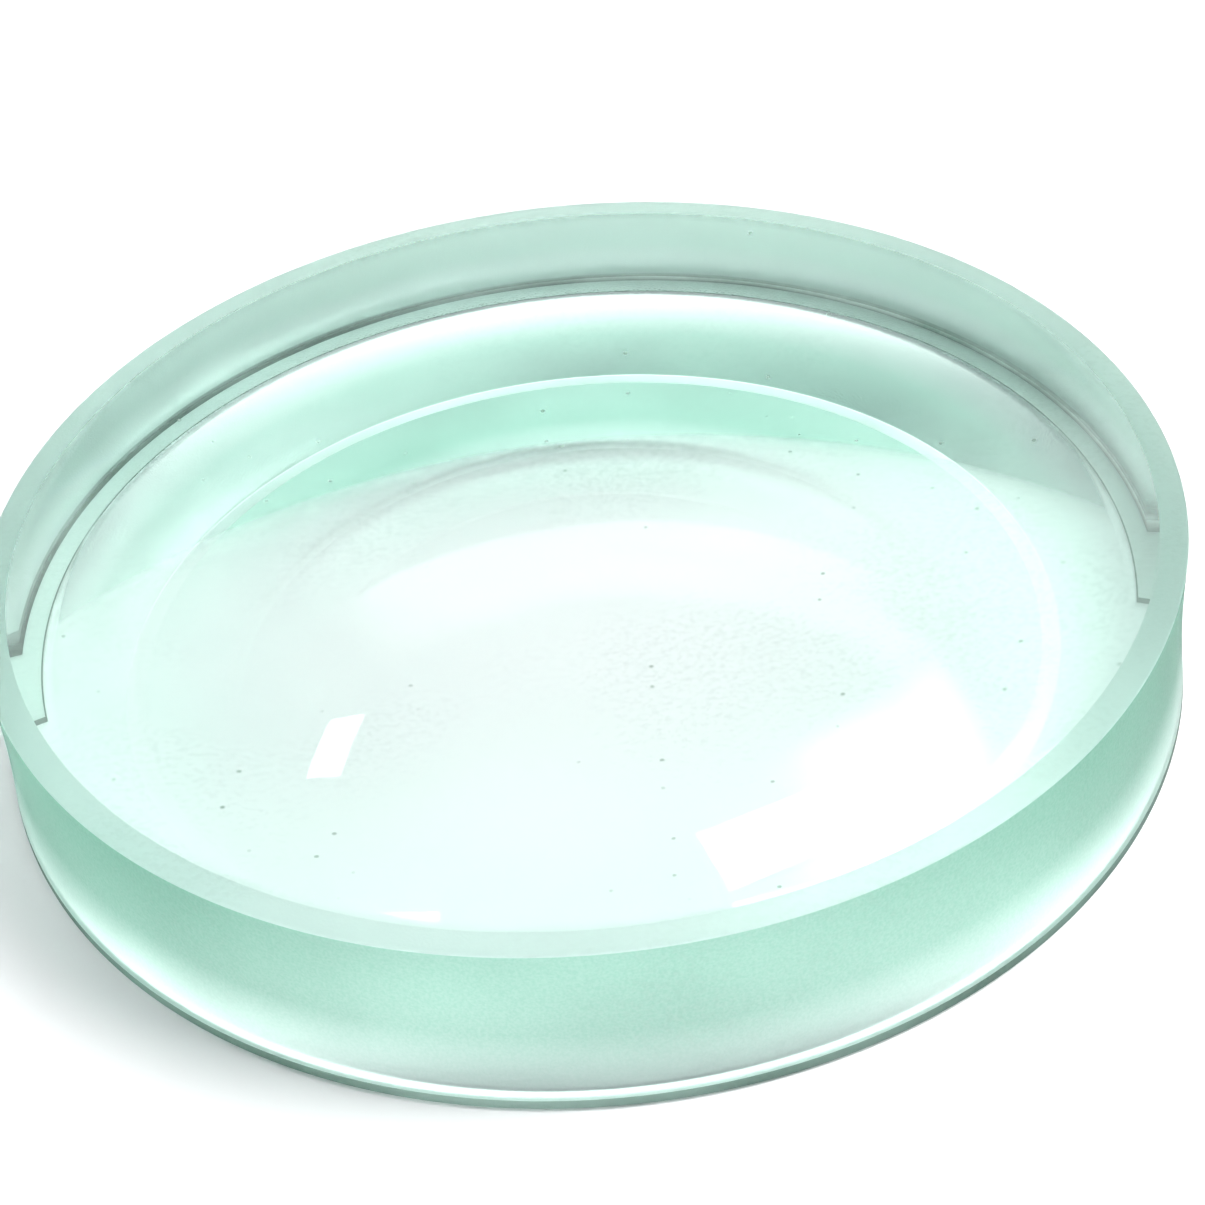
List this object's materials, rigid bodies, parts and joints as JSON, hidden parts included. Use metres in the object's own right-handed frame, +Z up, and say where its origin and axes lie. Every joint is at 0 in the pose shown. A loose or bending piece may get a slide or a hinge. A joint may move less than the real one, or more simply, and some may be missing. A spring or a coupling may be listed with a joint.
{
  "type": "watch glass",
  "caption": "Thick round watch glass of clear greenish glass: shallow polished basin on top, matching hollow underneath, ground rim, wall and foot ring.",
  "frame": {"origin": "centre of the foot ring, on the plane that the glass rests on", "axes": "+Z up along the glass's axis of revolution, out of the basin; the glass is the same all round, so +X and +Y are free"},
  "size_m": [0.075, 0.075, 0.0117],
  "materials": {
    "glass": "polished basin and underside hollow, fine ground rim, wall and foot ring, pale aqua-green tint"
  },
  "bodies": {
    "root": {"glass_dish": "glass"}
  },
  "joints": []
}
